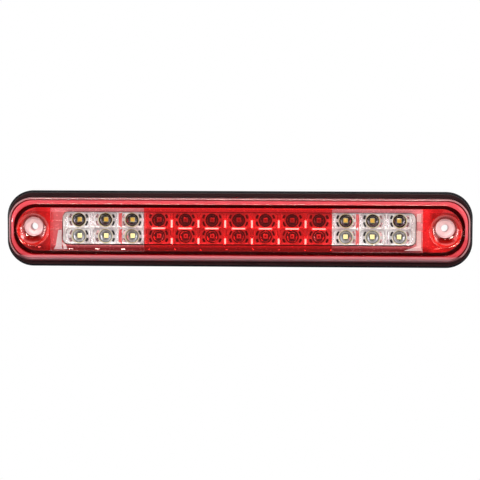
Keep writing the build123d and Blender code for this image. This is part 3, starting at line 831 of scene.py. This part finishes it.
# inset of width and height, corner radius, front
BAR_EDGE = (
    (0.6, 5.7, BAR_BACK), (0, 6.0, BAR_BACK + 0.3), (0, 6.0, BAR_FRONT - 1.0),
    (0.3, 5.85, BAR_FRONT - 0.45), (0.7, 5.65, BAR_FRONT - 0.12), (1.0, 5.5, BAR_FRONT),
)
# recess round a cup: width, height, corner radius, front
RECESS = (
    (23.4, 14.5, 2.6, BAR_FRONT), (23.15, 14.42, 2.55, BAR_FRONT - 0.06),
    (22.9, 14.3, 2.5, BAR_FRONT - 0.22), (22.3, 14.22, 2.45, BAR_FRONT - 0.62),
    (21.3, 14.08, 2.4, BAR_FRONT - 1.08), (20.2, 13.95, 2.2, BAR_FRONT - 1.34),
    (19.2, 13.84, 2.1, CUP_FRONT),
)
# radius, front
CUP_PROFILE = [
    BOWL[0], (CUP_RADIUS - 0.04, CUP_FRONT - 0.1), (CUP_RADIUS - 0.16, BOWL[1][1] - 0.04),
    *BOWL[2:], (3.2, BOWL[-1][1] - 0.12), (3.2, BAR_BACK + 0.15), (3.3, BAR_BACK),
]


def add_pit(shell, x, y, side, up, depth, slot):
    """A small curved relief beside the rim of a cup; returns its outline."""
    outer = up * (y - BAR_Y) > 0
    start, end = (12, 38) if outer else (8, 40)
    far = 9.7 if outer else 9.4
    polar = []
    for k in range(6):
        angle = math.radians(start + (end - start) * k / 5)
        polar.append((7.3 + 0.35 * math.sin(angle), angle))
    for k in range(6):
        angle = math.radians(end - (end - start) * k / 5)
        polar.append((far - (0.3 if k in (0, 5) else 0.0), angle))
    flat = [
        (x + side * radius * math.cos(angle), y + up * radius * math.sin(angle))
        for radius, angle in polar
    ]
    mid_x, mid_y = (sum(point[axis] for point in flat) / 12 for axis in (0, 1))
    rim = shell.ring([(px, py, CUP_FRONT) for px, py in flat])
    foot = shell.ring([
        (mid_x + (px - mid_x) * 0.86, mid_y + (py - mid_y) * 0.86, CUP_FRONT - depth)
        for px, py in flat
    ])
    shell.bridge(rim, foot, slot)
    shell.fill([foot], slot)
    return rim


def add_cell(shell, column, x, y):
    """One recess with its cup and four reliefs; returns its front and back loops."""
    recess = shell.rects(RECESS, steps=4, x=x, y=y)
    start = len(shell.faces)
    shell.stack(recess[:4], CHROME)
    shell.stack(recess[3:], SATIN)
    if column in (CARGO - 1, COLUMNS - CARGO):
        # the wall of these cells towards the end (left ones) or the right is painted red, a painted
        # reflection of the red lens
        out = -1 if column == CARGO - 1 else 1
        for k in range(start, len(shell.faces)):
            face_x = sum(shell.points[i][0] for i in shell.faces[k]) * 1000 / 4
            if out * (face_x - x) > 9.4:
                shell.slots[k] = RED_REFLECTION
    cup = shell.circles(CUP_PROFILE, 44, x, y)
    shell.stack(cup[:5], CUP_RIM)
    shell.stack(cup[4:], CUP)
    pits = []
    for side in SIDES:
        # the reliefs on the outward side of the cargo cups are shallow and painted pale pink, a painted
        # reflection; the others are deep and painted near black as shade
        dim = (column < CARGO and side < 0) or (column >= COLUMNS - CARGO and side > 0)
        depth, slot = (0.25, PINK_REFLECTION) if dim else (1.3, SHADOW)
        pits += [add_pit(shell, x, y, side, up, depth, slot) for up in SIDES]
    shell.fill([recess[-1], cup[0]] + pits, SATIN)
    return recess[0], cup[-1]


def add_ramp(shell, left, right, bottom, top, tilt, slot):
    """A low bar on the land whose front leans back, standing out more at its lower end."""
    chamfer = 0.12
    front = BAR_FRONT + (top - bottom) * tilt
    outlines = (
        rectangle(left, right, bottom, top, BAR_FRONT - 0.2),
        rectangle(left, right, bottom, top, front - chamfer, BAR_FRONT + 0.02),
        rectangle(left + chamfer, right - chamfer, bottom + chamfer, top, front, BAR_FRONT + 0.04),
    )
    shell.close([shell.ring(outline) for outline in outlines], slot)


def add_ribs(shell):
    """Ramps between the columns: broad ones among the brake cups, narrow among the cargo cups."""
    for i in range(1, COLUMNS):
        x = (i - COLUMNS / 2) * PITCH
        if i in (CARGO, COLUMNS - CARGO):
            continue
        if CARGO < i < COLUMNS - CARGO:
            for y in ROW_Y:
                top = y + (0.2 if y > BAR_Y else -1.6)
                add_ramp(shell, x - 0.95, x + 0.95, y - 6.9, top, tilt=0.16, slot=CHROME)
            continue
        if i in (CARGO - 1, COLUMNS - CARGO + 1):
            # the inward half of these ribs is painted red, a painted reflection of the red lens; the pale
            # ramp moves outward
            outward = -1 if i < CARGO else 1
            left, right = sorted((x - outward * 0.2, x - outward * 1.0))
            shell.block(
                left, right, BAR_Y - 14.6, BAR_Y + 14.6, BAR_FRONT - 0.2, BAR_FRONT + 0.05,
                RED_REFLECTION, chamfer=0.04,
            )
            x += outward * 0.6
        for y in ROW_Y:
            add_ramp(shell, x - 0.35, x + 0.35, y - 6.9, y + 6.9, tilt=0.02, slot=RIB_PALE)


def reflector_bar():
    shell = Shell()
    edge = [
        (BAR_WIDTH - inset, BAR_HEIGHT - inset, radius, front) for inset, radius, front in BAR_EDGE
    ]
    rings = shell.rects(edge, steps=10, y=BAR_Y)
    shell.stack(rings, SHADOW)
    front_loops, back_loops = [rings[-1]], [rings[0]]
    for column, x in enumerate(COLUMN_X):
        for y in ROW_Y:
            mouth, throat = add_cell(shell, column, x, y)
            front_loops.append(mouth)
            back_loops.append(throat)
    shell.fill(front_loops, SATIN)
    shell.fill(back_loops, SATIN)
    add_ribs(shell)
    for x in COLUMN_X[CARGO:-CARGO]:  # between the two rows
        add_ramp(shell, x - 6.4, x + 6.4, BAR_Y - 0.7, BAR_Y + 0.7, tilt=0.16, slot=CHROME)
    shell.make(
        "led_bezel_cups", BAR_MATERIALS, slot="reflector_chrome", replaces="led_bezel", angle=30
    )


reflector_bar()

# ---------------------------------------------------------------------------
# Tray round the bar
# ---------------------------------------------------------------------------
TRAY, BEAD, PLAIN_STRIP, PALE_STRIP = range(4)  # material slots
TRAY_STEPS = 16
# width, height, corner radius, front
TRAY_OUTSIDE = (
    (TRAY_WIDTH - 0.4, TRAY_HEIGHT - 0.4, 19.0, TRAY_BACK),
    (TRAY_WIDTH, TRAY_HEIGHT, 19.2, TRAY_BACK + 0.2),
    (TRAY_WIDTH, TRAY_HEIGHT, 19.2, TRAY_RIM - 0.3),
    (TRAY_WIDTH - 0.5, TRAY_HEIGHT - 0.5, 18.95, TRAY_RIM),
    (419.4, 39.4, 18.4, TRAY_RIM),
    (419.0, 39.0, 18.2, TRAY_RIM - 0.15),
    (418.6, 38.6, 18.0, TRAY_RIM - 0.75),
    (414.3, 34.3, 15.9, TRAY_FLOOR + 1.0),
    (413.9, 33.9, 15.7, TRAY_FLOOR + 0.4),
    (413.4, 33.4, 15.45, TRAY_FLOOR + 0.1),
    (413.0, 33.0, 15.3, TRAY_FLOOR),
    (412.7, 32.7, 15.2, TRAY_FLOOR),
)
TRAY_UNDERSIDE = (
    (418.6, 38.6, 18.0, TRAY_BACK),
    (418.6, 38.6, 18.0, TRAY_RIM - TRAY_WALL - 0.6),
    (414.0, 34.0, 15.8, TRAY_FLOOR - TRAY_WALL + 0.4),
    (412.7, 32.7, 15.2, TRAY_FLOOR - TRAY_WALL),
)
# radius, front of the hole round a well
TRAY_HOLE = (
    (12.7, TRAY_FLOOR), (12.5, TRAY_FLOOR - 0.1), (12.4, TRAY_FLOOR - 0.3),
    (12.4, TRAY_FLOOR - TRAY_WALL),
)
# pads between the bar and the wells: bottom, top, rise above the floor, slot, chamfer
PADS = ((0.1, 7.7, 0.7, TRAY, 0.2), (7.7, 8.25, 0.8, BEAD, 0.15), (-0.45, 0.1, 0.8, BEAD, 0.15))
# strips at the ends of the bar, which run down onto the lower slope; they are painted reflections,
# pale and grey: slot, then stations of y, x of one edge, x of the other edge, front
SLOPE_FOOT = TRAY_FLOOR + 1.0
STRIPS = (
    (PLAIN_STRIP, (
        (-1.2, -168.9, -172.2, TRAY_FLOOR), (-16.5, -168.9, -174.8, TRAY_FLOOR),
        (-17.15, -168.7, -175.0, SLOPE_FOOT), (-19.0, -167.4, -175.6, 15.0),
    )),
    (PALE_STRIP, (
        (-13.2, -167.7, -168.6, TRAY_FLOOR), (-14.9, -165.4, -168.3, TRAY_FLOOR),
        (-16.5, -164.6, -167.6, TRAY_FLOOR), (-17.15, -164.2, -167.2, SLOPE_FOOT),
        (-19.0, -163.0, -166.4, 15.0),
    )),
    (PALE_STRIP, (
        (15.6, 172.6, 168.7, TRAY_FLOOR), (-15.0, 172.8, 168.7, TRAY_FLOOR),
        (-16.5, 173.0, 165.2, TRAY_FLOOR), (-17.15, 173.1, 163.0, SLOPE_FOOT),
        (-19.0, 173.4, 156.5, 15.0),
    )),
)
NIBS, NIB_START, NIB_PITCH = 13, -159.1, 24.68


def outline_of(pairs):
    return [pair[0] for pair in pairs] + [pair[1] for pair in reversed(pairs)]


def add_strip(shell, slot, stations):
    foot, head = (
        [
            (shell.point(one, y, front + lift), shell.point(other, y, front + lift))
            for y, one, other, front in stations
        ]
        for lift in (-0.3, 0.35)
    )
    shell.bridge(outline_of(foot), outline_of(head), slot)
    for pairs in (foot, head):
        for here, after in zip(pairs, pairs[1:]):
            shell.face((here[0], here[1], after[1], after[0]), slot)


def add_nibs(shell):
    """Small nibs along the lower slope, in pale bead metal as painted highlights: wide for the first
    three, plain for the last two.
    """
    for k in range(NIBS):
        x, half = NIB_START + NIB_PITCH * k, 2.1 if k < 3 else 1.0
        outlines = (
            rectangle(x - half, x + half, -19.2, -18.4, 14.0),
            rectangle(x - half + 0.2, x + half - 0.2, -19.1, -18.5, 14.9, 14.75),
        )
        shell.close([shell.ring(outline) for outline in outlines], BEAD if k < 11 else TRAY)


def tray():
    shell = Shell()
    outside = shell.rects(TRAY_OUTSIDE, TRAY_STEPS)
    shell.stack(outside)
    underside = [outside[0]] + shell.rects(TRAY_UNDERSIDE, TRAY_STEPS)
    shell.stack(underside)
    # the opening for the bar, trimmed in height to stay on the floor
    opening = shell.rects(
        [(BAR_WIDTH + 0.8, 31.6, 6.2, front) for front in (TRAY_FLOOR, TRAY_FLOOR - TRAY_WALL)],
        steps=10, y=0.45,
    )
    shell.stack(opening)
    front_loops, back_loops = [outside[-1], opening[0]], [underside[-1], opening[1]]
    for side in SIDES:
        hole = shell.circles(TRAY_HOLE, 56, side * SCREW_X, SCREW_Y)
        shell.stack(hole)
        front_loops.append(hole[0])
        back_loops.append(hole[-1])
    shell.fill(front_loops)
    shell.fill(back_loops)
    for side in SIDES:
        left, right = sorted((side * 168.6, side * 182.6))
        for bottom, top, rise, slot, chamfer in PADS:
            shell.block(
                left, right, bottom, top, TRAY_FLOOR - 0.3, TRAY_FLOOR + rise, slot, chamfer
            )
    for slot, stations in STRIPS:
        add_strip(shell, slot, stations)
    add_nibs(shell)
    shell.make(
        "reflector_tray_shell", ["tray_metallised", "tray_bead", "tray_ramp", "tray_pale"],
        slot="reflector_chrome", replaces="reflector_tray", angle=14,
    )


tray()

# ---------------------------------------------------------------------------
# Light emitting diodes
# ---------------------------------------------------------------------------
# width, height, corner radius, front
PACKAGE = (
    (4.4, 4.4, 0.3, BOARD_FRONT), (4.4, 4.4, 0.3, LED_FRONT - 0.1), (4.3, 4.3, 0.26, LED_FRONT),
    (4.12, 4.12, 0.4, LED_FRONT), (4.04, 4.04, 0.45, LED_FRONT - 0.22),
)
GEL = (
    (4.0, 4.0, 0.42, LED_FRONT - 0.24), (4.0, 4.0, 0.42, LED_FRONT - 0.05),
    (3.7, 3.7, 0.4, LED_FRONT), (1.7, 1.7, 0.3, LED_FRONT + 0.02),
)


def leds(kind, end, columns, gel_node, gel_slot, gel_materials):
    """Packages and gel of some columns; the last gel material is on the middle of the gel."""
    packages, gels = Shell(), Shell()
    for x in columns:
        for y in ROW_Y:
            packages.close(packages.rects(PACKAGE, steps=2, x=x, y=y))
            gels.close(gels.rects(GEL, steps=2, x=x, y=y), end_slot=len(gel_materials) - 1)
    packages.make(
        f"{kind}_led_packages{end}", ["led_package"],
        slot="led_package", replaces=f"{kind}_led_bodies{end}",
    )
    gels.make(f"{kind}_led_gel{end}", gel_materials, slot=gel_slot, replaces=gel_node + end)


for end, columns in (("_left", COLUMN_X[:CARGO]), ("_right", COLUMN_X[-CARGO:])):
    leds("cargo", end, columns, "cargo_led_phosphors", "led_phosphor", ["led_phosphor_gel"])
leds(
    "brake", "", COLUMN_X[CARGO:-CARGO], "brake_led_emitters", "led_red",
    ["brake_emitter_gel", "brake_emitter_die"],
)

# ---------------------------------------------------------------------------
# Flanged bushes in the wells
# ---------------------------------------------------------------------------
# radius, front
BUSH = (
    (3.7, 0.0), (4.45, 0.0), (4.6, 0.15), (4.6, 9.9), (8.35, 9.9), (8.5, 10.05), (9.0, 12.95),
    (8.98, 13.12), (8.85, 13.2), (8.62, 13.16), (8.5, 12.95), (7.55, 11.1), (7.4, 10.9),
    (7.2, 10.82), (4.5, 10.8), (4.2, 10.74), (3.9, 10.55), (3.6, 10.3), (3.5, 10.1), (3.5, 0.2),
)


def bushes():
    shell = Shell()
    for side in SIDES:
        rings = shell.circles(BUSH, 56, side * SCREW_X, SCREW_Y)
        shell.stack(rings + [rings[0]])
    shell.make(
        "screw_sleeve_pair", ["bush_pink_reflection"], slot="bush_metal", replaces="screw_sleeves", angle=35
    )


bushes()

# ---------------------------------------------------------------------------
# Gasket
# ---------------------------------------------------------------------------
GASKET_FRONT = 4.5
# width, height, corner radius, front, from the opening at the back round to that at the front
GASKET = (
    (372.0, 50.0, 12.0, 0.0), (443.0, 71.4, 24.5, 0.0), (443.7, 72.1, 24.85, 0.12),
    (444.0, 72.4, 25.0, 0.5), (444.0, 72.4, 25.0, 3.3), (443.65, 72.05, 24.82, 3.9),
    (442.9, 71.3, 24.45, 4.33), (441.6, 70.0, 23.8, GASKET_FRONT),
    (372.0, 50.0, 12.0, GASKET_FRONT),
)


def gasket():
    shell = Shell()
    rings = shell.rects(GASKET, steps=20)
    shell.stack(rings[1:-1])
    shell.bridge(rings[-1], rings[0])
    back_loops, front_loops = [rings[1], rings[0]], [rings[-2], rings[-1]]
    for side in SIDES:
        hole = shell.circles(((4.65, 0.0), (4.65, GASKET_FRONT)), 64, side * SCREW_X, SCREW_Y)
        shell.stack(hole)
        back_loops.append(hole[0])
        front_loops.append(hole[1])
    shell.fill(back_loops)
    shell.fill(front_loops)
    shell.make(
        "gasket_ring", ["gasket_rubber"], slot="gasket_rubber", replaces="mounting_gasket", angle=35
    )


gasket()

# ---------------------------------------------------------------------------
# CAD pieces that keep their shape, with their materials
# ---------------------------------------------------------------------------
KEPT = {
    "rear_housing": "housing_black", "lens_sealant": "sealant_pale", "circuit_board": "board_mask",
    "bezel_screws": "screw_steel", "board_screws": "screw_steel",
    "cargo_ballast_resistors": "chip_epoxy", "brake_ballast_resistors": "chip_epoxy",
    "input_diodes": "chip_epoxy", "current_regulators": "chip_epoxy",
    "filter_capacitors": "capacitor_can", "board_header": "natural_nylon",
    "header_pins": "tinned_contact", "board_socket": "natural_nylon", "brake_wire": "wire_blue",
    "cargo_wire": "wire_orange", "ground_wire": "wire_black", "harness_sheath": "sheath_braid",
    "cable_grommet": "grommet_rubber", "vent_membrane": "vent_patch", "plug_body": "plug_nylon",
    "plug_terminals": "tinned_contact", "wire_seals": "seal_silicone",
    "terminal_retainer": "retainer_nylon", "plug_release_lever": "latch_nylon",
}
for node, material in KEPT.items():
    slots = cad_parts[node].data.materials
    slots.clear()
    slots.append(MATERIALS[material])


# ---------------------------------------------------------------------------
# Studio: pale floor, soft surroundings
# ---------------------------------------------------------------------------
def studio_floor():
    shell = Shell()
    corners = [(-1100, -170, 900), (1100, -170, 900), (1100, -170, -1300), (-1100, -170, -1300)]
    shell.face(shell.ring(corners))
    link_object("studio_floor", shell.mesh("studio_floor", ["studio_floor"]))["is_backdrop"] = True


DEGREES = 57.29578  # in a radian
# Light panels: azimuth from and to, elevation from and to, half width of the soft edge, all in
# degrees, and strength. Azimuth 0 is straight in front, positive to the right.
PANELS = (
    (-105, -24, -22, 48, 4, 1.3),
    (24, 105, -22, 48, 4, 1.3),
    (-64, -60.5, -6, 28, 0.8, 22.0),
    (60.5, 64, -6, 28, 0.8, 22.0),
    (-140, -93, -25, 40, 4, 1.3),
    (93, 140, -25, 40, 4, 1.3),
    (-180, 180, 52, 95, 5, 1.25),
    (-108, -94, -1, 8, 1.5, 60.0),
    (-76, -59, -34, 2, 2, 6.0),
    (59, 76, -34, 2, 2, 5.0),
    (58, 92, 32, 50, 3, 6.0),
)
WARM_PANEL = (-12, 9, 11.5, 17, 0.8, 1.0)
WARM_STRENGTH = 60.0
WARM_COLOUR = (1.0, 0.92, 0.76)
FILL_BEHIND, FILL_ALL = 0.55, 0.04


def studio_world():
    """Light panels for the lamp, plain white to the camera."""
    world = bpy.data.worlds.new("studio")
    bpy.context.scene.world = world
    sky = Shader(world, "ShaderNodeOutputWorld")
    x, y, z = sky.split(sky.node("TexCoord").outputs["Generated"])
    azimuth = sky.math("ARCTAN2", x, sky.math("MULTIPLY", y, -1.0))
    azimuth = sky.math("MULTIPLY", azimuth, DEGREES)
    elevation = sky.math("MULTIPLY", sky.math("ARCSINE", z), DEGREES)

    def smooth(value, start, end):
        return sky.remap(value, start, end, kind="SMOOTHSTEP")

    def within(value, start, end, soft):
        rise = smooth(value, start - soft, start + soft)
        return sky.math("MULTIPLY", rise, smooth(value, end + soft, end - soft))

    def panel(left, right, bottom, top, soft, strength):
        across = within(azimuth, left, right, soft)
        area = sky.math("MULTIPLY", across, within(elevation, bottom, top, soft))
        return sky.math("MULTIPLY", area, strength)

    behind = sky.math("MULTIPLY", smooth(y, -0.1, 0.5), smooth(elevation, -22, -6))
    total = sky.math("ADD", sky.math("MULTIPLY", behind, FILL_BEHIND), FILL_ALL)
    for row in PANELS:
        total = sky.math("ADD", total, panel(*row))
    warm = panel(*WARM_PANEL)
    total = sky.math("ADD", total, sky.math("MULTIPLY", warm, WARM_STRENGTH))
    to_camera = sky.node("LightPath").outputs["Is Camera Ray"]
    white = sky.node("Background", Color=(1, 1, 1), Strength=1.0)
    colour = sky.mix(warm, (1, 1, 1), WARM_COLOUR)
    light = sky.node("Background", Color=colour, Strength=total)
    sky.finish(sky.node("MixShader", to_camera, light, white))


# ---------------------------------------------------------------------------
# Camera
# ---------------------------------------------------------------------------
AZIMUTH, ELEVATION, ROLL = (math.radians(angle) for angle in (2.0, 4.0, 0.15))
DISTANCE = 1.4  # metres, to the middle of the outline
VIEW_WIDTH = 459.2  # mm, seen at that distance
SENSOR_WIDTH = 36.0


def camera():
    data = bpy.data.cameras.new("camera")
    obj = link_object("camera", data)
    toward = Vector((
        math.sin(AZIMUTH) * math.cos(ELEVATION),
        -math.cos(AZIMUTH) * math.cos(ELEVATION),
        math.sin(ELEVATION),
    ))
    obj.location = toward * DISTANCE + Vector((0, 0, -SCREW_Y * MM))
    obj.rotation_mode = "QUATERNION"
    aim = (-toward).to_track_quat("-Z", "Y")
    obj.rotation_quaternion = aim @ Quaternion((0, 0, 1), ROLL)
    data.sensor_width = SENSOR_WIDTH
    data.lens = SENSOR_WIDTH * DISTANCE * 1000 / VIEW_WIDTH
    data.shift_x, data.shift_y = 0.002083333, -0.02322917  # parts of the view width
    data.clip_start, data.clip_end = 0.05, 20
    bpy.context.scene.camera = obj


studio_floor()
studio_world()
camera()
bpy.context.scene.view_settings.view_transform = "Standard"
bpy.context.scene.view_settings.look = "None"

low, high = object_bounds()
